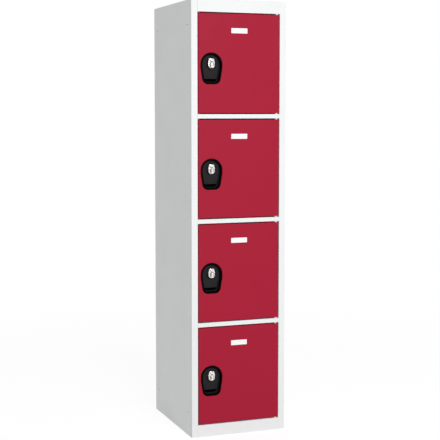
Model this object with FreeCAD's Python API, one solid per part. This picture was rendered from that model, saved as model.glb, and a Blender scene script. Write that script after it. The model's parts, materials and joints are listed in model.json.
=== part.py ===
import FreeCAD, Part
import math
import os

# Driving dimensions in millimetres. X runs to the right, the front faces -Y, Z is up.
# The origin is the bottom centre of the whole locker, the projecting latches included.

# Carcass
width = 415.0
depth = 500.0
height = 1800.0
tiers = 4
sheet = 0.8
inside_bend = 0.8
stile_width = 27.0
jamb_depth = 20.0
stile_return = 12.0
stop_lip = 14.0
foot_flange = 18.0
header_height = 50.0
plinth_height = 50.0
rail_height = 18.0
rail_return = 21.0
panel_flange = 15.0
joining_hole_radius = 3.5
joining_hole_inset = 50.0
joining_hole_end = 100.0
wall_hole_radius = 4.0
wall_hole_spacing = 240.0
wall_hole_drop = 100.0

# Doors
door_sheet = 0.8
door_bend = 1.0
door_thickness = 15.0
door_return = 12.0
side_gap = 3.0
end_gap = 4.0
stiffener_width = 64.0
stiffener_crown = 34.0
stiffener_depth = 10.0
stiffener_end = 24.0

# Pivots and buffers
pivot_inset = 9.0
pivot_setback = 7.5
pin_radius = 3.0
pin_reach = 6.0
pin_head_radius = 5.0
pin_head_height = 2.5
bush_flange_radius = 5.5
bush_wall = 1.0
bush_depth = 7.0
buffer_radius = 5.0
buffer_spread = 140.0

# Lock housing, placed from the turning axis of the latch
lock_inset = 56.5
lock_drop = 7.3
housing_radius = 47.3
housing_rise = 3.0
housing_flank_drop = 8.0
housing_corner = 25.0
housing_corner_across = 15.2
housing_corner_drop = 52.7
rim_width = 8.0
rim_proud = 2.0
rim_round = 1.6
cup_wall = 2.0
cup_draft = 4.0
cup_top_depth = 11.5
cup_knee_depth = 20.0
cup_knee_drop = 54.7
pocket_depth = 27.0
pocket_drop = 62.7
seat_depth = 11.0
seat_margin = 2.0
nut_seat_depth = 18.6

# Hasp and latch
staple_plate = 3.0
plate_radius = 10.5
tab_half_width = 10.9
tab_top = 26.5
tab_corner = 5.0
shoulder_half_width = 14.2
shoulder_rise = 8.0
shoulder_corner = 3.0
staple_foot = 15.2
staple_top = 25.0
staple_half_width = 6.0
staple_corner = 4.0
eye_radius = 3.3
eye_wall = 1.6
knob_radius = 13.2
knob_cap = 4.0
knob_round = 0.75
knob_neck_radius = 9.5
knob_dish_radius = 10.8
knob_dish_depth = 3.0
knob_front = 2.0
grip_width = 6.0
grip_half_length = 12.6
barrel_radius = 7.0
spindle_radius = 4.0
nut_across = 20.0
nut_height = 3.0
cam_reach = 54.0
cam_width = 16.0
cam_thickness = 2.5
square_size = 5.6
thread_radius = 2.5
cam_nut_across = 8.0
cam_nut_height = 3.5

# Label
label_width = 70.0
label_height = 20.5
label_thickness = 2.0
label_drop = 69.0
window_margin_across = 6.5
window_margin_up = 5.0
card_thickness = 0.4

# Clearances
running_clearance = 0.05
hole_clearance = 0.1
end_float = 0.15
buffer_clearance = 0.2
lip_clearance = 1.0
shackle_clearance = 0.3
knob_clearance = 0.4
insert_clearance = 1.0
clip_clearance = 0.3
card_clearance = 0.25

# Sizes worked out from the above
left = -width / 2
right = width / 2
eye_proud = rim_proud + eye_radius + shackle_clearance
latch_projection = eye_proud + eye_radius + eye_wall
front = (latch_projection - depth) / 2
back = front + depth
inner_back = back - sheet
opening_left = left + stile_width
opening_right = right - stile_width
opening_height = (height - header_height - plinth_height - rail_height * (tiers - 1)) / tiers
door_left = opening_left + side_gap
door_right = opening_right - side_gap
door_height = opening_height - 2 * end_gap
door_back = front + door_thickness
lip_front = front + jamb_depth
lip_back = lip_front + sheet
panel_start = lip_back + lip_clearance
pivot_x = door_right - pivot_inset
pivot_y = front + pivot_setback
bush_radius = pin_radius + running_clearance + bush_wall
lock_x = door_left + lock_inset
cup_floor = cup_wall
barrel_end = nut_seat_depth + nut_height + end_float
cam_front = barrel_end + end_float
cam_back = cam_front + cam_thickness

Vector = FreeCAD.Vector


def opening_bottom(tier):
    return height - header_height - opening_height * (tier + 1) - rail_height * tier


def door_bottom(tier):
    return opening_bottom(tier) + end_gap


def door_top(tier):
    return door_bottom(tier) + door_height


def lock_height(tier):
    return door_bottom(tier) + door_height / 2 - lock_drop


def block(x0, x1, y0, y1, z0, z1):
    return Part.makeBox(x1 - x0, y1 - y0, z1 - z0, Vector(x0, y0, z0))


def rod(radius, start, end):
    along = end.sub(start)
    return Part.makeCylinder(radius, along.Length, start, along)


def joined(shapes):
    return shapes[0].fuse(shapes[1:]).removeSplitter()


def folded_face(points, thickness, bend, place):
    # Section of a folded sheet: the path is one face of the sheet, the metal lies on its left
    near = [points[0]]
    far = []
    for index in range(1, len(points) - 1):
        before = points[index - 1]
        corner = points[index]
        after = points[index + 1]
        length_in = math.hypot(corner[0] - before[0], corner[1] - before[1])
        length_out = math.hypot(after[0] - corner[0], after[1] - corner[1])
        ahead_in = ((corner[0] - before[0]) / length_in, (corner[1] - before[1]) / length_in)
        ahead_out = ((after[0] - corner[0]) / length_out, (after[1] - corner[1]) / length_out)
        turn = ahead_in[0] * ahead_out[1] - ahead_in[1] * ahead_out[0]
        side = 1 if turn > 0 else -1
        near_radius = bend + thickness if side > 0 else bend
        far_radius = bend if side > 0 else bend + thickness
        angle = math.acos(ahead_in[0] * ahead_out[0] + ahead_in[1] * ahead_out[1])
        setback = near_radius * math.tan(angle / 2)
        centre = (corner[0] - ahead_in[0] * setback - ahead_in[1] * side * near_radius,
                  corner[1] - ahead_in[1] * setback + ahead_in[0] * side * near_radius)
        reach = math.hypot(corner[0] - centre[0], corner[1] - centre[1])
        outward = ((corner[0] - centre[0]) / reach, (corner[1] - centre[1]) / reach)
        for store, radius in ((near, near_radius), (far, far_radius)):
            first = (centre[0] + ahead_in[1] * side * radius, centre[1] - ahead_in[0] * side * radius)
            middle = (centre[0] + outward[0] * radius, centre[1] + outward[1] * radius)
            last = (centre[0] + ahead_out[1] * side * radius, centre[1] - ahead_out[0] * side * radius)
            store.extend([first, middle, last])
    near.append(points[-1])
    start_ahead = unit_step(points[0], points[1])
    end_ahead = unit_step(points[-2], points[-1])
    far.insert(0, (points[0][0] - start_ahead[1] * thickness, points[0][1] + start_ahead[0] * thickness))
    far.append((points[-1][0] - end_ahead[1] * thickness, points[-1][1] + end_ahead[0] * thickness))
    edges = path_edges(near, place)
    edges.append(Part.makeLine(place(*near[-1]), place(*far[-1])))
    edges.extend(path_edges(far, place))
    edges.append(Part.makeLine(place(*far[0]), place(*near[0])))
    return Part.Face(Part.Wire(Part.__sortEdges__(edges)))


def unit_step(first, second):
    length = math.hypot(second[0] - first[0], second[1] - first[1])
    return ((second[0] - first[0]) / length, (second[1] - first[1]) / length)


def path_edges(stops, place):
    # Straight runs and bends in turn: every bend is stored as its first, middle and last point
    edges = []
    for index in range(0, len(stops) - 1, 3):
        edges.append(Part.makeLine(place(*stops[index]), place(*stops[index + 1])))
        if index + 3 < len(stops):
            bend = Part.Arc(place(*stops[index + 1]), place(*stops[index + 2]), place(*stops[index + 3]))
            edges.append(bend.toShape())
    return edges


def hull_wire(circles, place):
    # Outline drawn tightly round circles (across, up, radius) that are listed anticlockwise
    normals = []
    for index in range(len(circles)):
        across, up, radius = circles[index]
        next_across, next_up, next_radius = circles[(index + 1) % len(circles)]
        ahead = unit_step((across, up), (next_across, next_up))
        lean = (radius - next_radius) / math.hypot(next_across - across, next_up - up)
        square = math.sqrt(1 - lean * lean)
        normals.append((ahead[0] * lean + ahead[1] * square, ahead[1] * lean - ahead[0] * square))
    edges = []
    for index in range(len(circles)):
        across, up, radius = circles[index]
        next_across, next_up, next_radius = circles[(index + 1) % len(circles)]
        arrive = normals[index - 1]
        leave = normals[index]
        first = math.atan2(arrive[1], arrive[0])
        last = math.atan2(leave[1], leave[0])
        if last <= first:
            last += 2 * math.pi
        stops = []
        for angle in (first, (first + last) / 2, last):
            stops.append(place(across + radius * math.cos(angle), up + radius * math.sin(angle)))
        edges.append(Part.Arc(*stops).toShape())
        reached = place(next_across + next_radius * leave[0], next_up + next_radius * leave[1])
        edges.append(Part.makeLine(stops[2], reached))
    return Part.Wire(edges)


def hull_plate(circles, tier, near_depth, far_depth):
    # Plate parallel to the door, drawn round circles placed from the latch axis of this tier
    wire = hull_wire(circles, lambda across, up: lock_point(tier, across, up, near_depth))
    return Part.Face(wire).extrude(Vector(0, far_depth - near_depth, 0))


def lock_point(tier, across, up, deep):
    return Vector(lock_x + across, front + deep, lock_height(tier) + up)


def plan_point(x, y):
    return Vector(x, y, 0)


def rounded_at(shape, radius, wanted):
    return shape.makeFillet(radius, [edge for edge in shape.Edges if wanted(edge)])


def lies_at_y(edge, y):
    tolerance = 1e-6
    if abs(edge.CenterOfMass.y - y) > tolerance:
        return False
    return all(abs(vertex.Point.y - y) < tolerance for vertex in edge.Vertexes)


# Carcass pieces

def side_wall():
    # Flat sheet that is welded flush to the stile in front and to the back panel behind
    wall = block(left, left + sheet, lip_front, back, 0, height - sheet)
    for y in (front + joining_hole_inset, back - joining_hole_inset):
        for z in (joining_hole_end, height - joining_hole_end):
            hole = rod(joining_hole_radius, Vector(left - sheet, y, z), Vector(left + 2 * sheet, y, z))
            wall = wall.cut(hole)
    return wall


def stile():
    # Folded front post: a leg in the plane of the side wall, the front face, the jamb and a return
    path = [
        (left, lip_front),
        (left, front),
        (opening_left, front),
        (opening_left, lip_front),
        (opening_left - stile_return, lip_front),
    ]
    return folded_face(path, sheet, inside_bend, plan_point).extrude(Vector(0, 0, height - sheet))


def door_stop(tier):
    # Flat strip behind the stile's return that the closed door lies against
    low = opening_bottom(tier) + lip_clearance
    high = opening_bottom(tier) + opening_height - lip_clearance
    return block(opening_left - stile_return, opening_left + stop_lip, lip_front, lip_back, low, high)


def foot_rail():
    # Angle along the lower edge of the side wall, which the locker stands on
    path = [(left + sheet, foot_flange), (left + sheet, 0), (left + foot_flange, 0)]
    face = folded_face(path, sheet, inside_bend, lambda x, z: Vector(x, panel_start, z))
    return face.extrude(Vector(0, inner_back - panel_start, 0))


def mirrored(shape):
    return shape.mirror(Vector(0, 0, 0), Vector(1, 0, 0))


def back_panel():
    panel = block(left + sheet, right - sheet, inner_back, back, 0, height - sheet)
    for x in (-wall_hole_spacing / 2, wall_hole_spacing / 2):
        z = height - wall_hole_drop
        panel = panel.cut(rod(wall_hole_radius, Vector(x, inner_back - sheet, z), Vector(x, back + sheet, z)))
    return panel


def side_flanges(under):
    flanges = []
    for x in (left + sheet, right - 2 * sheet):
        flanges.append(block(x, x + sheet, panel_start, inner_back, under - panel_flange, under))
    return flanges


def floor_panel(floor, nose):
    # Compartment floor with its front edge folded down into a rail, flanged at the sides and the back
    path = [
        (inner_back, floor - panel_flange),
        (inner_back, floor),
        (front, floor),
        (front, floor - nose),
        (front + rail_return, floor - nose),
    ]
    face = folded_face(path, sheet, inside_bend, lambda y, z: Vector(left + sheet, y, z))
    panel = face.extrude(Vector(width - 2 * sheet, 0, 0))
    for x0, x1 in ((left, opening_left), (opening_right, right)):
        panel = panel.cut(block(x0, x1, front - sheet, panel_start, floor - nose - sheet, floor + sheet))
    panel = joined([panel] + side_flanges(floor - sheet / 2))
    return panel.cut(pin_hole(floor))


def shelf(tier):
    panel = floor_panel(opening_bottom(tier), rail_height)
    return panel.cut(pin_hole(opening_bottom(tier) - rail_height))


def top_panel():
    lid = block(left, right, front, back, height - sheet, height)
    lid = rounded_at(lid, inside_bend + sheet,
                     lambda edge: edge.Length < 2 * sheet and edge.CenterOfMass.y < inner_back)
    fold_end = front + rail_return
    lid = lid.cut(block(opening_left, opening_right, front - sheet, fold_end,
                        height - 2 * sheet, height + sheet))
    path = [
        (fold_end, height),
        (front, height),
        (front, height - header_height),
        (fold_end, height - header_height),
    ]
    face = folded_face(path, sheet, inside_bend, lambda y, z: Vector(opening_left, y, z))
    header = face.extrude(Vector(opening_right - opening_left, 0, 0))
    flanges = side_flanges(height - sheet / 2)
    flanges.append(block(left + sheet, right - sheet, inner_back - sheet, inner_back,
                         height - sheet / 2 - panel_flange, height - sheet / 2))
    panel = joined([lid, header] + flanges)
    return panel.cut(pin_hole(height - header_height))


def pin_hole(level):
    # Hole for a pivot pin through the rail sheet at this level
    reach = 2 * sheet
    return rod(pin_radius + hole_clearance, Vector(pivot_x, pivot_y, level - reach),
               Vector(pivot_x, pivot_y, level + reach))


def pivot_pins():
    pins = []
    for tier in range(tiers):
        low = opening_bottom(tier)
        high = low + opening_height
        for level, way in ((low, 1), (high, -1)):
            seat = level - way * sheet
            tip = level + way * (end_gap + pin_reach)
            head = rod(pin_head_radius, Vector(pivot_x, pivot_y, seat - way * pin_head_height),
                       Vector(pivot_x, pivot_y, seat))
            shank = rod(pin_radius, Vector(pivot_x, pivot_y, seat), Vector(pivot_x, pivot_y, tip))
            pins.append(joined([head, shank]))
    return Part.makeCompound(pins)


def door_buffers():
    pads = []
    for tier in range(tiers):
        middle = door_bottom(tier) + door_height / 2
        for z in (middle - buffer_spread, middle + buffer_spread):
            x = opening_left + stop_lip / 2
            nose = door_back + buffer_clearance
            pad = rod(buffer_radius, Vector(x, nose, z), Vector(x, lip_front, z))
            pads.append(rounded_at(pad, buffer_radius / 4, lambda edge: lies_at_y(edge, nose)))
    return Part.makeCompound(pads)


# Door pieces

def door_panel(tier):
    low = door_bottom(tier)
    high = door_top(tier)
    outer = block(door_left, door_right, front, door_back, low, high)
    outer = rounded_at(outer, door_bend + door_sheet, lambda edge: lies_at_y(edge, front))
    inner = block(door_left + door_sheet, door_right - door_sheet, front + door_sheet, door_back - door_sheet,
                  low + door_sheet, high - door_sheet)
    inner = rounded_at(inner, door_bend, lambda edge: lies_at_y(edge, front + door_sheet))
    mouth = block(door_left + door_return, door_right - door_return, front + door_thickness / 2,
                  door_back + door_sheet, low + door_return, high - door_return)
    panel = outer.cut(inner).cut(mouth)
    cutout_inset = rim_width - cup_wall - insert_clearance
    panel = panel.cut(hull_plate(housing_circles(cutout_inset), tier, -door_sheet, 2 * door_sheet))
    for level in (low, high):
        hole = rod(bush_radius + hole_clearance, Vector(pivot_x, pivot_y, level - 2 * door_sheet),
                   Vector(pivot_x, pivot_y, level + 2 * door_sheet))
        panel = panel.cut(hole)
    return panel


def stiffener(tier):
    skin = front + door_sheet
    crown = skin + stiffener_depth
    half = stiffener_width / 2
    half_crown = stiffener_crown / 2
    middle = (door_left + door_right) / 2
    path = [
        (middle - half, skin),
        (middle - half_crown - stiffener_depth / 3, skin),
        (middle - half_crown, crown),
        (middle + half_crown, crown),
        (middle + half_crown + stiffener_depth / 3, skin),
        (middle + half, skin),
    ]
    low = door_bottom(tier) + stiffener_end
    face = folded_face(path, door_sheet, inside_bend, lambda x, y: Vector(x, y, low))
    return face.extrude(Vector(0, 0, door_height - 2 * stiffener_end))


def pivot_bushes(tier):
    bushes = []
    for level, way in ((door_bottom(tier), 1), (door_top(tier), -1)):
        seat = Vector(pivot_x, pivot_y, level)
        rim = Vector(pivot_x, pivot_y, level - way * (end_gap - end_float))
        foot = Vector(pivot_x, pivot_y, level + way * bush_depth)
        body = joined([rod(bush_flange_radius, rim, seat), rod(bush_radius, rim, foot)])
        bore = rod(pin_radius + running_clearance, rim, foot)
        bushes.append(body.cut(bore))
    return Part.makeCompound(bushes)


def housing_circles(inset):
    # Round top, short upright flanks, and sides that draw in to two wide round lower corners
    flank = (0, -housing_flank_drop, housing_radius - inset)
    return [
        (0, housing_rise, housing_radius - inset),
        flank,
        (-housing_corner_across, -housing_corner_drop, housing_corner - inset),
        (housing_corner_across, -housing_corner_drop, housing_corner - inset),
        flank,
    ]


def cup_body(tier, inset, start, end):
    # Tapering cup: the outline shrinks by the draft between the door face and the pocket's floor
    wires = []
    for deep in (start, end):
        circles = housing_circles(inset + cup_draft * deep / pocket_depth)
        wires.append(hull_wire(circles, lambda across, up: lock_point(tier, across, up, deep)))
    return Part.makeLoft(wires, True, True)


def cup_space(tier, skin):
    # Everything in front of the cup's floor, and the floor's own thickness where skin is not zero
    rise = skin / 2
    line = [
        (housing_radius * 2, -pocket_depth),
        (housing_radius * 2, cup_top_depth + skin - housing_radius * cup_slope()),
        (-cup_knee_drop + rise, cup_knee_depth + skin),
        (-pocket_drop + rise, pocket_depth + skin),
        (-housing_corner_drop - housing_corner * 2, pocket_depth + skin),
        (-housing_corner_drop - housing_corner * 2, -pocket_depth),
    ]
    stops = [lock_point(tier, -housing_radius * 2, up, deep) for up, deep in line]
    return Part.Face(Part.makePolygon(stops + [stops[0]])).extrude(Vector(housing_radius * 4, 0, 0))


def cup_slope():
    # How much deeper the floor gets for each millimetre down, from the top of the cup to the knee
    return (cup_knee_depth - cup_top_depth) / (housing_radius + cup_knee_drop)


def tab_circles(margin):
    # Upper part of the hasp's outline: the shoulders beside the knob and the top corners
    shoulder = shoulder_half_width - shoulder_corner
    half = tab_half_width - tab_corner
    top = tab_top - tab_corner
    return [
        (shoulder, shoulder_rise, shoulder_corner + margin),
        (half, top, tab_corner + margin),
        (-half, top, tab_corner + margin),
        (-shoulder, shoulder_rise, shoulder_corner + margin),
    ]


def seat_circles(margin):
    return [(0, 0, plate_radius + margin)] + tab_circles(margin)


def lock_housing(tier):
    flange = hull_plate(housing_circles(0), tier, -rim_proud, 0)
    flange = rounded_at(flange, rim_round, lambda edge: lies_at_y(edge, front - rim_proud))
    outer = cup_body(tier, rim_width - cup_wall, 0, pocket_depth + cup_floor)
    outer = outer.common(cup_space(tier, cup_floor))
    cavity = cup_body(tier, rim_width, -rim_proud * 2, pocket_depth)
    cavity = cavity.common(cup_space(tier, 0))
    seat = hull_plate(seat_circles(seat_margin), tier, seat_depth, pocket_depth)
    seat = seat.common(outer)
    boss = rod(nut_across / math.sqrt(3) + 1, lock_point(tier, 0, 0, seat_depth),
               lock_point(tier, 0, 0, nut_seat_depth))
    housing = joined([flange, outer]).cut(cavity)
    housing = joined([housing, seat, boss] + housing_clips(tier))
    return housing.cut(barrel_hole(tier))


def barrel_hole(tier):
    return rod(barrel_radius + hole_clearance, lock_point(tier, 0, 0, 0),
               lock_point(tier, 0, 0, pocket_depth))


def housing_clips(tier):
    # Two moulded catches that hold the cup behind the door skin
    near = front + door_sheet + clip_clearance
    far = near + 2 * cup_wall
    overlap = insert_clearance + cup_wall / 2
    wall = rim_width - cup_wall
    top = lock_height(tier) + housing_rise + housing_radius - wall
    low = lock_height(tier) - housing_corner_drop - housing_corner + wall
    half = housing_corner_across / 2
    upper = block(lock_x - half, lock_x + half, near, far, top - 2 * cup_wall, top + overlap)
    lower = block(lock_x - half, lock_x + half, near, far, low - overlap, low + cup_wall)
    return [upper, lower]


def staple_post(tier):
    # Lug with round upper corners, a straight foot and a softened front edge
    corner = staple_corner
    foot = staple_corner / 2
    circles = [
        (staple_half_width - foot, staple_foot + foot, foot),
        (staple_half_width - corner, staple_top - corner, corner),
        (corner - staple_half_width, staple_top - corner, corner),
        (foot - staple_half_width, staple_foot + foot, foot),
    ]
    post = hull_plate(circles, tier, -latch_projection, seat_depth - staple_plate / 2)
    return rounded_at(post, 0.9 * foot, lambda edge: lies_at_y(edge, front - latch_projection))


def hasp_tab(tier):
    # Raised tab above the knob, flush with the knob's rim, with a shoulder down each side of it
    tab = hull_plate(tab_circles(0), tier, -knob_front, seat_depth - staple_plate / 2)
    tab = rounded_at(tab, knob_round, lambda edge: lies_at_y(edge, front - knob_front))
    room = rod(knob_radius + knob_clearance, lock_point(tier, 0, 0, -2 * knob_front),
               lock_point(tier, 0, 0, seat_depth - staple_plate))
    return tab.cut(room)


def hasp_staple(tier):
    top_of_plate = seat_depth - staple_plate
    plate = hull_plate(seat_circles(0), tier, top_of_plate, seat_depth)
    barrel = rod(barrel_radius, lock_point(tier, 0, 0, top_of_plate), lock_point(tier, 0, 0, barrel_end))
    staple = joined([plate, hasp_tab(tier), staple_post(tier), barrel])
    bore = rod(spindle_radius + running_clearance, lock_point(tier, 0, 0, 0),
               lock_point(tier, 0, 0, pocket_depth))
    eye = rod(eye_radius, lock_point(tier, 0, 0, -eye_proud), lock_point(tier, 0, 2 * staple_top, -eye_proud))
    return staple.cut(bore).cut(eye)


def hexagon(tier, across_flats, near_depth, far_depth):
    stops = []
    for corner in range(7):
        angle = math.radians(60 * corner)
        reach = across_flats / math.sqrt(3)
        stops.append(lock_point(tier, reach * math.cos(angle), reach * math.sin(angle), near_depth))
    return Part.Face(Part.makePolygon(stops)).extrude(Vector(0, far_depth - near_depth, 0))


def hasp_nut(tier):
    end = nut_seat_depth + nut_height
    return hexagon(tier, nut_across, nut_seat_depth, end).cut(barrel_hole(tier))


def label_outline(tier, half_width, half_height, near_depth, far_depth):
    middle = (door_left + door_right) / 2
    level = door_top(tier) - label_drop
    return block(middle - half_width, middle + half_width, front + near_depth, front + far_depth,
                 level - half_height, level + half_height)


def label_holder(tier):
    frame = label_outline(tier, label_width / 2, label_height / 2, -label_thickness, 0)
    frame = rounded_at(frame, label_thickness / 2, lambda edge: edge.Length < 1.5 * label_thickness)
    window = label_outline(tier, label_width / 2 - window_margin_across, label_height / 2 - window_margin_up,
                           -2 * label_thickness, 0)
    slot = label_outline(tier, card_half_width() + card_clearance, card_half_height() + card_clearance,
                         -card_thickness - card_clearance, 0)
    return frame.cut(window).cut(slot)


def card_half_width():
    return label_width / 2 - window_margin_across / 2


def card_half_height():
    return label_height / 2 - window_margin_up / 2


def label_card(tier):
    return label_outline(tier, card_half_width(), card_half_height(), -card_thickness, 0)


# Latch pieces, shown unlocked: the grip stands upright and the cam points up

def latch_knob(tier):
    base = seat_depth - staple_plate - end_float
    cap_back = knob_cap - knob_front
    cap = rod(knob_radius, lock_point(tier, 0, 0, cap_back), lock_point(tier, 0, 0, -knob_front))
    cap = rounded_at(cap, knob_round, lambda edge: lies_at_y(edge, front - knob_front))
    neck = rod(knob_neck_radius, lock_point(tier, 0, 0, base), lock_point(tier, 0, 0, cap_back))
    dish = rod(knob_dish_radius, lock_point(tier, 0, 0, -2 * knob_front),
               lock_point(tier, 0, 0, knob_dish_depth - knob_front))
    corner = grip_half_length / 2.5
    foot = grip_width / 6
    grip_circles = [
        (grip_half_length - foot, cap_back - foot, foot),
        (grip_half_length - corner, corner - latch_projection, corner),
        (corner - grip_half_length, corner - latch_projection, corner),
        (foot - grip_half_length, cap_back - foot, foot),
    ]
    grip_circles.reverse()
    wire = hull_wire(grip_circles, lambda up, deep: lock_point(tier, -grip_width / 2, up, deep))
    grip = Part.Face(wire).extrude(Vector(grip_width, 0, 0))
    grip = rounded_at(grip, foot * 0.8, lambda edge: abs(edge.CenterOfMass.x - lock_x) > grip_width / 4)
    spindle = rod(spindle_radius, lock_point(tier, 0, 0, base - foot), lock_point(tier, 0, 0, cam_front))
    half = square_size / 2
    square = block(lock_x - half, lock_x + half, front + cam_front - foot, front + cam_back,
                   lock_height(tier) - half, lock_height(tier) + half)
    thread_end = cam_back + cam_nut_height + end_float
    thread = rod(thread_radius, lock_point(tier, 0, 0, cam_front), lock_point(tier, 0, 0, thread_end))
    knob = joined([cap.cut(dish), neck, grip, spindle, square, thread])
    eye = rod(eye_radius, lock_point(tier, -knob_radius, 0, -eye_proud),
              lock_point(tier, knob_radius, 0, -eye_proud))
    return knob.cut(eye)


def latch_cam(tier):
    end = cam_width / 2
    circles = [(0, 0, end + 1), (0, cam_reach - end, end)]
    cam = hull_plate(circles, tier, cam_front, cam_back)
    half = square_size / 2 + running_clearance
    return cam.cut(block(lock_x - half, lock_x + half, front + cam_front - 1, front + cam_back + 1,
                         lock_height(tier) - half, lock_height(tier) + half))


def cam_nut(tier):
    nut = hexagon(tier, cam_nut_across, cam_back, cam_back + cam_nut_height)
    bore = rod(thread_radius + running_clearance, lock_point(tier, 0, 0, cam_front),
               lock_point(tier, 0, 0, 2 * cam_back))
    return nut.cut(bore)


def save(name, shape):
    shape.exportStep("parts/" + name + ".step")


os.makedirs("parts", exist_ok=True)
save("left_side", side_wall())
save("right_side", mirrored(side_wall()))
save("left_stile", stile())
save("right_stile", mirrored(stile()))
left_stops = [door_stop(tier) for tier in range(tiers)]
save("door_stops", Part.makeCompound(left_stops + [mirrored(stop) for stop in left_stops]))
save("foot_rails", Part.makeCompound([foot_rail(), mirrored(foot_rail())]))
save("back_panel", back_panel())
save("top_panel", top_panel())
save("base_panel", floor_panel(plinth_height, plinth_height))
for tier in range(tiers - 1):
    save("shelf_" + str(tier + 1), shelf(tier))
save("pivot_pins", pivot_pins())
save("door_buffers", door_buffers())
for tier in range(tiers):
    door = "door_" + str(tier + 1) + "_"
    latch = "latch_" + str(tier + 1) + "_"
    save(door + "panel", door_panel(tier))
    save(door + "stiffener", stiffener(tier))
    save(door + "pivot_bushes", pivot_bushes(tier))
    save(door + "lock_housing", lock_housing(tier))
    save(door + "hasp_staple", hasp_staple(tier))
    save(door + "hasp_nut", hasp_nut(tier))
    save(door + "label_holder", label_holder(tier))
    save(door + "label_card", label_card(tier))
    save(latch + "knob", latch_knob(tier))
    save(latch + "cam", latch_cam(tier))
    save(latch + "cam_nut", cam_nut(tier))
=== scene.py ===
import json
import math
import bpy
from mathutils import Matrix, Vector


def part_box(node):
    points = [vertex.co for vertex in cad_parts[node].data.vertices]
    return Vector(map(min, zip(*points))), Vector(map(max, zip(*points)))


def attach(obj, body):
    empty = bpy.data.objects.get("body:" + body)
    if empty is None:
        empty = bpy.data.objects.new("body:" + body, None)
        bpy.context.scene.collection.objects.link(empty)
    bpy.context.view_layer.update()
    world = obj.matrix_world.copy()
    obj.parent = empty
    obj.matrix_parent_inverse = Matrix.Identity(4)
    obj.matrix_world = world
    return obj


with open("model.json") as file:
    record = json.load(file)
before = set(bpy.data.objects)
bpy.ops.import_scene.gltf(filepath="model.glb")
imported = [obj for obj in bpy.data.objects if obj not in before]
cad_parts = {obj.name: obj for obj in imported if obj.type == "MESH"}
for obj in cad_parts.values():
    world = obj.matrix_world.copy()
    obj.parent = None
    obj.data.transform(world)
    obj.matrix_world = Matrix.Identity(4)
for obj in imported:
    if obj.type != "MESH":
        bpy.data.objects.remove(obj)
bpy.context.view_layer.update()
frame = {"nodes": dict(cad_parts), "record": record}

mm = 0.001
tiers = 4  # doors, counted from the top
noiseSpan = (0.3, 0.7)  # nearly all values of a noise pattern lie between these
whiteLevel = 1.0  # strength at which the floor and the sky show as plain white
print("frame loaded:", len(frame["nodes"]), "nodes")


def hexToLinear(text):
    channels = [int(text[start:start + 2], 16) / 255 for start in (1, 3, 5)]
    return [c / 12.92 if c <= 0.04045 else ((c + 0.055) / 1.055) ** 2.4 for c in channels] + [1.0]


def addNode(tree, kind, settings=None, links=None):
    # settings fill the node's own properties or its sockets, links join sockets to earlier nodes
    node = tree.nodes.new(kind)
    for key, value in (settings or {}).items():
        if isinstance(key, str) and hasattr(node, key):
            setattr(node, key, value)
        else:
            node.inputs[key].default_value = value
    for key, source in (links or {}).items():
        tree.links.new(source, node.inputs[key])
    return node


def addObject(name, data):
    item = bpy.data.objects.new(name, data)
    bpy.context.scene.collection.objects.link(item)
    return item


def newMaterial(name):
    material = bpy.data.materials.new(name)
    material.use_nodes = True
    material.node_tree.nodes.clear()
    return material


def noiseScale(sizeMm):
    return 1 / (sizeMm * mm)  # one noise cell is about as wide as the feature


# Powder coat on thin steel sheet: satin, with a fine orange peel over broad soft waves of the
# sheet. The real peel is a little finer, and is drawn so that close views show it
greyCoat = {
    "name": "lightGreyPowderCoat",
    "colour": "#eef0f0", "shade": "#e9ebeb", "shadeMm": 240, "shadeDetail": 2.0,
    "roughness": 0.48, "spread": 0.05, "glossMm": 60, "glossDetail": 3.0,
    "refraction": 1.5, "sheen": 0.2,
    "peelMm": 2.5, "peelDetail": 1.5, "peelDepth": 0.02,
    "waveMm": 260, "waveDetail": 0.0, "waveDepth": 0.5,
}
# The same coat in red, on the smaller sheets of the doors
redCoat = {
    **greyCoat, "name": "crimsonPowderCoat",
    "colour": "#a71d36", "shade": "#a31b34", "shadeMm": 200,
    "sheen": 0.1, "waveMm": 220,
}


def makePowderCoat(coat):
    material = newMaterial(coat["name"])
    tree = material.node_tree
    place = addNode(tree, "ShaderNodeTexCoord").outputs["Object"]
    tone = addNode(tree, "ShaderNodeTexNoise",
                   {"Scale": noiseScale(coat["shadeMm"]), "Detail": coat["shadeDetail"]},
                   {"Vector": place})
    colour = addNode(tree, "ShaderNodeMix",
                     {"data_type": "RGBA", 6: hexToLinear(coat["colour"]),
                      7: hexToLinear(coat["shade"])},
                     {0: tone.outputs[0]})
    patches = addNode(tree, "ShaderNodeTexNoise",
                      {"Scale": noiseScale(coat["glossMm"]), "Detail": coat["glossDetail"]},
                      {"Vector": place})
    gloss = addNode(tree, "ShaderNodeMapRange",
                    {"From Min": noiseSpan[0], "From Max": noiseSpan[1],
                     "To Min": coat["roughness"] - coat["spread"],
                     "To Max": coat["roughness"] + coat["spread"]},
                    {"Value": patches.outputs[0]})
    waves = addNode(tree, "ShaderNodeTexNoise",
                    {"Scale": noiseScale(coat["waveMm"]), "Detail": coat["waveDetail"]},
                    {"Vector": place})
    sheet = addNode(tree, "ShaderNodeBump", {"Distance": coat["waveDepth"] * mm},
                    {"Height": waves.outputs[0]})
    peel = addNode(tree, "ShaderNodeTexNoise",
                   {"Scale": noiseScale(coat["peelMm"]), "Detail": coat["peelDetail"]},
                   {"Vector": place})
    skin = addNode(tree, "ShaderNodeBump", {"Distance": coat["peelDepth"] * mm},
                   {"Height": peel.outputs[0], "Normal": sheet.outputs[0]})
    shader = addNode(tree, "ShaderNodeBsdfPrincipled",
                     {"IOR": coat["refraction"], "Specular IOR Level": coat["sheen"]},
                     {"Base Color": colour.outputs[2], "Roughness": gloss.outputs[0],
                      "Normal": skin.outputs[0]})
    addNode(tree, "ShaderNodeOutputMaterial", {}, {"Surface": shader.outputs[0]})
    return material


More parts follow.
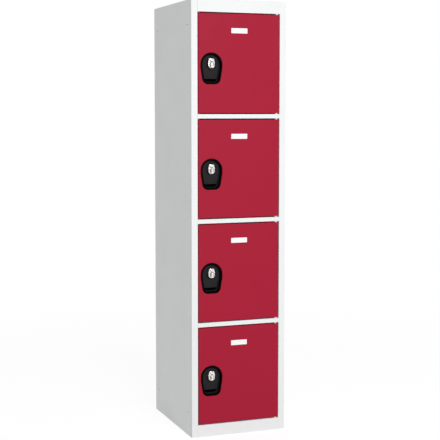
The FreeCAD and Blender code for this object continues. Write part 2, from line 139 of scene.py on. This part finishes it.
# Injection-moulded black ABS: the rim is polished and deep black, and the cup inside it has a
# spark-eroded grain that scatters light and looks greyer. The finger pocket at the bottom is
# painted
# shade: deeper than the cup, it turns to the same near-black. The real grain is about a third as
# wide, too fine to show
housingPlastic = {
    "name": "blackMouldedAbs",
    # the cup's slight warm tint is painted reflected light from the red doors
    "colour": "#272526", "peak": "#343132", "polishedBlackAndPaintedShade": "#030303",
    "roughness": 0.50, "spread": 0.08, "refraction": 1.53, "sheen": 0.02,
    "grainMm": 0.9, "grainBlend": 0.6, "grainDepth": 0.03,
    "rimBack": 4.0, "grainStart": 9.0,  # mm behind the door's front, as the next two
    # from grainEnd on, the finger pocket darkens to painted shade
    "grainEnd": 20.0, "pocketShadeFull": 22.0,
}
# Injection-moulded natural nylon: warm white, waxy, with a faint flow of the melt
bushNylon = {
    "name": "naturalNylon",
    "colour": "#e4dfd2", "peak": "#eeeae0",
    "roughness": 0.38, "spread": 0.06, "refraction": 1.53, "sheen": 0.5,
    "grainMm": 1.4, "grainBlend": 0.6, "grainDepth": 0.015,
}
# Moulded black rubber: dead matt, a dusty bloom in its pores
bufferRubber = {
    "name": "blackBufferRubber",
    "colour": "#161616", "peak": "#222221",
    "roughness": 0.78, "spread": 0.08, "refraction": 1.52, "sheen": 0.5,
    "grainMm": 0.7, "grainBlend": 0.6, "grainDepth": 0.03,
}


def makeMouldedPlastic(plastic):
    material = newMaterial(plastic["name"])
    tree = material.node_tree
    place = addNode(tree, "ShaderNodeTexCoord").outputs["Object"]
    grain = addNode(tree, "ShaderNodeTexVoronoi",
                    {"feature": "SMOOTH_F1", "Scale": noiseScale(plastic["grainMm"]),
                     "Smoothness": plastic["grainBlend"]},
                    {"Vector": place})
    height = grain.outputs["Distance"]
    colour = addNode(tree, "ShaderNodeMix",
                     {"data_type": "RGBA", 6: hexToLinear(plastic["peak"]),
                      7: hexToLinear(plastic["colour"])},
                     {0: height})
    gloss = addNode(tree, "ShaderNodeMapRange",
                    {"To Min": plastic["roughness"] - plastic["spread"],
                     "To Max": plastic["roughness"] + plastic["spread"]},
                    {"Value": height})
    skin = addNode(tree, "ShaderNodeBump",
                   {"invert": True, "Distance": plastic["grainDepth"] * mm},
                   {"Height": height})
    shade = colour.outputs[2]
    if "polishedBlackAndPaintedShade" in plastic:
        depth = addNode(tree, "ShaderNodeSeparateXYZ", {}, {"Vector": place}).outputs["Y"]
        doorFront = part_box("door_1_panel")[0].y
        black = hexToLinear(plastic["polishedBlackAndPaintedShade"])
        cup = addNode(tree, "ShaderNodeMapRange",
                      {"From Min": doorFront + plastic["rimBack"] * mm,
                       "From Max": doorFront + plastic["grainStart"] * mm},
                      {"Value": depth})
        rim = addNode(tree, "ShaderNodeMix", {"data_type": "RGBA", 6: black},
                      {0: cup.outputs[0], 7: shade})
        # painted shade: deeper than grainEnd, the finger pocket fades to the near-black colour
        pocketShadeMask = addNode(tree, "ShaderNodeMapRange",
                         {"From Min": doorFront + plastic["grainEnd"] * mm,
                          "From Max": doorFront + plastic["pocketShadeFull"] * mm},
                         {"Value": depth})
        pocketPaintedShade = addNode(tree, "ShaderNodeMix", {"data_type": "RGBA", 7: black},
                       {0: pocketShadeMask.outputs[0], 6: rim.outputs[2]})
        shade = pocketPaintedShade.outputs[2]
    shader = addNode(tree, "ShaderNodeBsdfPrincipled",
                     {"IOR": plastic["refraction"], "Specular IOR Level": plastic["sheen"]},
                     {"Base Color": shade, "Roughness": gloss.outputs[0],
                      "Normal": skin.outputs[0]})
    addNode(tree, "ShaderNodeOutputMaterial", {}, {"Surface": shader.outputs[0]})
    return material


# Zinc casting, polished and bright-plated: mirror-like with a slightly lumpy skin and fine handling
# haze. Darker grey in the recesses that the occlusion finds: painted shade
castHasp = {
    "name": "brightPlatedZincCasting",
    "colour": "#f3f1ef", "haze": "#e7e4e2",
    "hazeMm": 7, "hazeDetail": 4.0, "hazeMix": 0.6,
    "roughness": 0.10, "spread": 0.04,
    "lumpMm": 5, "lumpDetail": 1.0, "lumpDepth": 0.04,
    "paintedRecessShade": "#989694", "recessMm": 8, "recessRays": 16,
    "recessOpen": 0.35, "unshadedOpen": 0.8,  # shares of open sky
}
# Pressed steel with a plain zinc plating: grey, spangled in small soft patches
platedSteel = {
    "name": "zincPlatedSteel",
    "colour": "#bcbeba", "haze": "#a5a8a5",
    "hazeMm": 3, "hazeDetail": 4.0, "hazeMix": 0.6,
    "roughness": 0.36, "spread": 0.10,
    "lumpMm": 1.2, "lumpDetail": 1.0, "lumpDepth": 0.01,
}


def makePlatedMetal(metal):
    material = newMaterial(metal["name"])
    tree = material.node_tree
    place = addNode(tree, "ShaderNodeTexCoord").outputs["Object"]
    haze = addNode(tree, "ShaderNodeTexNoise",
                   {"Scale": noiseScale(metal["hazeMm"]), "Detail": metal["hazeDetail"],
                    "Roughness": metal["hazeMix"]},
                   {"Vector": place})
    colour = addNode(tree, "ShaderNodeMix",
                     {"data_type": "RGBA", 6: hexToLinear(metal["colour"]),
                      7: hexToLinear(metal["haze"])},
                     {0: haze.outputs[0]})
    gloss = addNode(tree, "ShaderNodeMapRange",
                    {"From Min": noiseSpan[0], "From Max": noiseSpan[1],
                     "To Min": metal["roughness"] - metal["spread"],
                     "To Max": metal["roughness"] + metal["spread"]},
                    {"Value": haze.outputs[0]})
    lumps = addNode(tree, "ShaderNodeTexNoise",
                    {"Scale": noiseScale(metal["lumpMm"]), "Detail": metal["lumpDetail"]},
                    {"Vector": place})
    skin = addNode(tree, "ShaderNodeBump", {"Distance": metal["lumpDepth"] * mm},
                   {"Height": lumps.outputs[0]})
    shade = colour.outputs[2]
    if "paintedRecessShade" in metal:
        # painted shade: the colour turns darker grey where the occlusion finds little open sky
        hollow = addNode(tree, "ShaderNodeAmbientOcclusion",
                         {"samples": metal["recessRays"], "Distance": metal["recessMm"] * mm})
        recessShadeMask = addNode(tree, "ShaderNodeMapRange",
                         {"From Min": metal["recessOpen"], "From Max": metal["unshadedOpen"]},
                         {"Value": hollow.outputs["AO"]})
        recessShaded = addNode(tree, "ShaderNodeMix",
                         {"data_type": "RGBA", 6: hexToLinear(metal["paintedRecessShade"])},
                         {0: recessShadeMask.outputs[0], 7: shade})
        shade = recessShaded.outputs[2]
    shader = addNode(tree, "ShaderNodeBsdfPrincipled", {"Metallic": 1.0},
                     {"Base Color": shade, "Roughness": gloss.outputs[0],
                      "Normal": skin.outputs[0]})
    addNode(tree, "ShaderNodeOutputMaterial", {}, {"Surface": shader.outputs[0]})
    return material


# Extruded white polystyrene: glossy, with faint draw lines that run along the strip
labelPlastic = {
    "name": "whiteExtrudedPolystyrene",
    "colour": "#fbfbfa", "line": "#f6f6f5",
    "roughness": 0.24, "spread": 0.05, "refraction": 1.59,
    "lineMm": 1.0, "lineLengthMm": 90, "lineDetail": 3.0, "lineDepth": 0.008,
}
# Bare white card: matt, with a cloudy mat of short fibres
bareCard = {
    "name": "bareWhiteCard",
    "colour": "#fafaf8", "line": "#f5f4f1",
    "roughness": 0.88, "spread": 0.06, "refraction": 1.45,
    "lineMm": 0.6, "lineLengthMm": 2.4, "lineDetail": 3.0, "lineDepth": 0.03,
}


def makeLinedSurface(finish):
    material = newMaterial(finish["name"])
    tree = material.node_tree
    place = addNode(tree, "ShaderNodeTexCoord").outputs["Object"]
    lengthwise = noiseScale(finish["lineLengthMm"])
    across = noiseScale(finish["lineMm"])
    along = addNode(tree, "ShaderNodeMapping", {"Scale": (lengthwise, across, across)},
                    {"Vector": place})
    lines = addNode(tree, "ShaderNodeTexNoise",
                    {"Scale": 1.0, "Detail": finish["lineDetail"]},  # the mapping gives the size
                    {"Vector": along.outputs[0]})
    colour = addNode(tree, "ShaderNodeMix",
                     {"data_type": "RGBA", 6: hexToLinear(finish["colour"]),
                      7: hexToLinear(finish["line"])},
                     {0: lines.outputs[0]})
    gloss = addNode(tree, "ShaderNodeMapRange",
                    {"From Min": noiseSpan[0], "From Max": noiseSpan[1],
                     "To Min": finish["roughness"] - finish["spread"],
                     "To Max": finish["roughness"] + finish["spread"]},
                    {"Value": lines.outputs[0]})
    skin = addNode(tree, "ShaderNodeBump", {"Distance": finish["lineDepth"] * mm},
                   {"Height": lines.outputs[0]})
    shader = addNode(tree, "ShaderNodeBsdfPrincipled", {"IOR": finish["refraction"]},
                     {"Base Color": colour.outputs[2], "Roughness": gloss.outputs[0],
                      "Normal": skin.outputs[0]})
    addNode(tree, "ShaderNodeOutputMaterial", {}, {"Surface": shader.outputs[0]})
    return material


finishes = {
    "carcass_paint": makePowderCoat(greyCoat),
    "door_paint": makePowderCoat(redCoat),
    "housing_plastic": makeMouldedPlastic(housingPlastic),
    "bush_nylon": makeMouldedPlastic(bushNylon),
    "buffer_rubber": makeMouldedPlastic(bufferRubber),
    "hasp_chrome": makePlatedMetal(castHasp),
    "plated_steel": makePlatedMetal(platedSteel),
    "label_plastic": makeLinedSurface(labelPlastic),
    "label_card": makeLinedSurface(bareCard),
}
for part in frame["record"]["subparts"]:
    node = frame["nodes"][part["node"]]
    node.data.materials.clear()
    node.data.materials.append(finishes[part["material_slot"]])
print("finishes set:", len(finishes))


# Electrode marks of the spot welds, in rows on the flanges that the welds go through
spotWelds = {
    "spacing": 62 * mm, "radius": 3.0 * mm, "height": 0.25 * mm,
    "frontMargin": 44 * mm, "endMargin": 22 * mm,
    "flangeMiddle": 8.5 * mm, "stiffenerInset": 6.5 * mm,
    "sheet": 0.8 * mm, "bite": 0.05 * mm, "sides": 20, "topShare": 0.8,
}


def makeWeldTree(welds):
    # Each edge of the input mesh is a row, and its points carry the way that the marks face
    tree = bpy.data.node_groups.new("spotWeldRows", "GeometryNodeTree")
    tree.interface.new_socket("Rows", in_out="INPUT", socket_type="NodeSocketGeometry")
    for name in ("Spacing", "Radius", "Height"):
        tree.interface.new_socket(name, in_out="INPUT", socket_type="NodeSocketFloat")
    tree.interface.new_socket("Finish", in_out="INPUT", socket_type="NodeSocketMaterial")
    tree.interface.new_socket("Marks", in_out="OUTPUT", socket_type="NodeSocketGeometry")
    given = addNode(tree, "NodeGroupInput")
    rows = addNode(tree, "GeometryNodeMeshToCurve", {}, {"Mesh": given.outputs["Rows"]})
    spots = addNode(tree, "GeometryNodeResampleCurve", {"mode": "LENGTH"},
                    {"Curve": rows.outputs[0], "Length": given.outputs["Spacing"]})
    rim = addNode(tree, "ShaderNodeMath", {"operation": "MULTIPLY", 1: welds["topShare"]},
                  {0: given.outputs["Radius"]})
    mark = addNode(tree, "GeometryNodeMeshCone", {"Vertices": welds["sides"]},
                   {"Radius Top": rim.outputs[0], "Radius Bottom": given.outputs["Radius"],
                    "Depth": given.outputs["Height"]})
    facing = addNode(tree, "GeometryNodeInputNamedAttribute",
                     {"data_type": "FLOAT_VECTOR", "Name": "facing"})
    turn = addNode(tree, "FunctionNodeAlignRotationToVector", {"axis": "Z"},
                   {"Vector": facing.outputs[0]})
    marks = addNode(tree, "GeometryNodeInstanceOnPoints", {},
                    {"Points": spots.outputs[0], "Instance": mark.outputs[0],
                     "Rotation": turn.outputs[0]})
    solid = addNode(tree, "GeometryNodeRealizeInstances", {}, {"Geometry": marks.outputs[0]})
    painted = addNode(tree, "GeometryNodeSetMaterial", {},
                      {"Geometry": solid.outputs[0], "Material": given.outputs["Finish"]})
    addNode(tree, "NodeGroupOutput", {}, {"Marks": painted.outputs[0]})
    return tree


def addWelds(name, rows, tree, welds, finish):
    points = []
    ways = []
    for start, end, way in rows:
        for stop in (start, end):
            points.append(Vector(stop) - Vector(way) * welds["bite"])
            ways.extend(way)
    lines = bpy.data.meshes.new(name + "Rows")
    lines.from_pydata(points, [(2 * row, 2 * row + 1) for row in range(len(rows))], [])
    lines.attributes.new("facing", "FLOAT_VECTOR", "POINT").data.foreach_set("vector", ways)
    piece = addObject(name, lines)
    modifier = piece.modifiers.new("spotWelds", "NODES")
    modifier.node_group = tree
    wanted = {"Spacing": welds["spacing"], "Radius": welds["radius"],
              "Height": welds["height"] + welds["bite"], "Finish": finish}
    for socket in tree.interface.items_tree:
        if socket.name in wanted:
            modifier[socket.identifier] = wanted[socket.name]
    shown = piece.evaluated_get(bpy.context.evaluated_depsgraph_get())
    plain = bpy.data.meshes.new_from_object(shown)
    piece.modifiers.clear()
    piece.data = plain
    plain.name = name
    bpy.data.meshes.remove(lines)
    return piece


def flangeRows(panel, welds):
    # Two rows under a compartment floor on its side flanges and one on its back flange
    low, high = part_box(panel)
    sheet = welds["sheet"]
    level = high.z - welds["flangeMiddle"]
    inner = high.y - sheet
    first = low.y + welds["frontMargin"]
    last = high.y - welds["endMargin"]
    across = high.x - welds["endMargin"]
    return [
        ((low.x + sheet, first, level), (low.x + sheet, last, level), (1, 0, 0)),
        ((high.x - sheet, first, level), (high.x - sheet, last, level), (-1, 0, 0)),
        ((-across, inner, level), (across, inner, level), (0, -1, 0)),
    ]


def stiffenerRows(stiffener, welds):
    # One row on each flange of the stiffener, on the inside of the door
    low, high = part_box(stiffener)
    flange = low.y + welds["sheet"]
    first = low.z + welds["endMargin"]
    last = high.z - welds["endMargin"]
    sides = (low.x + welds["stiffenerInset"], high.x - welds["stiffenerInset"])
    return [((x, flange, first), (x, flange, last), (0, 1, 0)) for x in sides]


weldTree = makeWeldTree(spotWelds)
floorPanels = ["shelf_1", "shelf_2", "shelf_3", "base_panel"]
carcassRows = [row for panel in floorPanels for row in flangeRows(panel, spotWelds)]
weldPieces = [("carcass", "carcass_paint", carcassRows)]
for tier in range(1, tiers + 1):
    rows = stiffenerRows("door_%d_stiffener" % tier, spotWelds)
    weldPieces.append(("door_%d" % tier, "door_paint", rows))
for body, slot, rows in weldPieces:
    piece = addWelds(body + "SpotWelds", rows, weldTree, spotWelds, finishes[slot])
    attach(piece, body)
    print("spot welds on", body, len(piece.data.polygons), "faces")


def seenRays(tree):
    # 1 for rays that show the backdrop: to the camera, mirrored, or through glass
    path = addNode(tree, "ShaderNodeLightPath")
    glossy = addNode(tree, "ShaderNodeMath", {"operation": "MAXIMUM"},
                     {0: path.outputs["Is Camera Ray"], 1: path.outputs["Is Glossy Ray"]})
    seen = addNode(tree, "ShaderNodeMath", {"operation": "MAXIMUM"},
                   {0: glossy.outputs[0], 1: path.outputs["Is Transmission Ray"]})
    return seen.outputs[0]


# Pale floor: it bounces light as plain card does, and shows as white with a soft shadow near the
# locker; sizes and distances are in metres
studioFloor = {
    "size": 60.0, "colour": "#f2f2f2", "shown": "#808080", "glow": 0.846,
    "shadowEnd": 1.4, "whiteStart": 3.2,
}


def makeFloor(floor):
    half = floor["size"] / 2
    mesh = bpy.data.meshes.new("studioFloor")
    corners = [(-half, -half, 0), (half, -half, 0), (half, half, 0), (-half, half, 0)]
    mesh.from_pydata(corners, [], [(0, 1, 2, 3)])
    piece = addObject("studioFloor", mesh)
    material = newMaterial("paleStudioFloor")
    tree = material.node_tree
    seen = seenRays(tree)
    card = addNode(tree, "ShaderNodeBsdfDiffuse", {"Color": hexToLinear(floor["colour"])})
    thin = addNode(tree, "ShaderNodeBsdfDiffuse", {"Color": hexToLinear(floor["shown"])})
    glow = addNode(tree, "ShaderNodeEmission", {"Strength": floor["glow"]})
    near = addNode(tree, "ShaderNodeAddShader", {}, {0: thin.outputs[0], 1: glow.outputs[0]})
    place = addNode(tree, "ShaderNodeTexCoord").outputs["Object"]
    distance = addNode(tree, "ShaderNodeVectorMath", {"operation": "LENGTH"}, {0: place})
    fade = addNode(tree, "ShaderNodeMapRange",
                   {"From Min": floor["shadowEnd"], "From Max": floor["whiteStart"]},
                   {"Value": distance.outputs["Value"]})
    far = addNode(tree, "ShaderNodeEmission", {"Strength": whiteLevel})
    white = addNode(tree, "ShaderNodeMixShader", {},
                    {0: fade.outputs[0], 1: near.outputs[0], 2: far.outputs[0]})
    mixed = addNode(tree, "ShaderNodeMixShader", {},
                    {0: seen, 1: card.outputs[0], 2: white.outputs[0]})
    addNode(tree, "ShaderNodeOutputMaterial", {}, {"Surface": mixed.outputs[0]})
    mesh.materials.append(material)


# Soft studio light: an even sky, and one large soft box in front, higher than the locker
studioLight = {
    "sky": 0.56, "skyColour": "#ffffff",
    "boxPlace": (0.1, -5.0, 2.4), "boxAim": (0.0, -0.2, 1.15), "boxSize": 2.0, "boxPower": 116.0,
}


def makeLight(light):
    world = bpy.data.worlds.new("studioSky")
    bpy.context.scene.world = world
    world.use_nodes = True
    tree = world.node_tree
    tree.nodes.clear()
    seen = seenRays(tree)
    tone = hexToLinear(light["skyColour"])
    sky = addNode(tree, "ShaderNodeBackground", {"Color": tone, "Strength": light["sky"]})
    white = addNode(tree, "ShaderNodeBackground", {"Color": tone, "Strength": whiteLevel})
    mixed = addNode(tree, "ShaderNodeMixShader", {},
                    {0: seen, 1: sky.outputs[0], 2: white.outputs[0]})
    addNode(tree, "ShaderNodeOutputWorld", {}, {"Surface": mixed.outputs[0]})
    lamp = bpy.data.lights.new("softBox", "AREA")
    lamp.shape = "SQUARE"
    lamp.size = light["boxSize"]
    lamp.energy = light["boxPower"]
    holder = addObject("softBox", lamp)
    holder.location = light["boxPlace"]
    aim = Vector(light["boxAim"]) - Vector(light["boxPlace"])
    holder.rotation_euler = aim.to_track_quat("-Z", "Y").to_euler()


# Long lens, to the left of the locker, turned right and looking slightly down
photoCamera = {
    "place": (-1.6950, -4.5600, 1.3472), "turn": 20.473, "tilt": 5.042,
    "lens": 92.01, "sensor": 36.0, "shift": -0.02, "farEnd": 200.0,
}


def makeCamera(view):
    camera = bpy.data.cameras.new("photoCamera")
    camera.lens = view["lens"]
    camera.sensor_width = view["sensor"]
    camera.shift_y = view["shift"]
    camera.clip_end = view["farEnd"]
    holder = addObject("photoCamera", camera)
    turn = math.radians(view["turn"])
    tilt = math.radians(view["tilt"])
    level = math.cos(tilt)
    ahead = Vector((math.sin(turn) * level, math.cos(turn) * level, -math.sin(tilt)))
    holder.location = view["place"]
    holder.rotation_euler = ahead.to_track_quat("-Z", "Y").to_euler()
    bpy.context.scene.camera = holder


makeFloor(studioFloor)
makeLight(studioLight)
makeCamera(photoCamera)
bpy.context.scene.view_settings.view_transform = "Standard"
print("floor, light and camera ready")
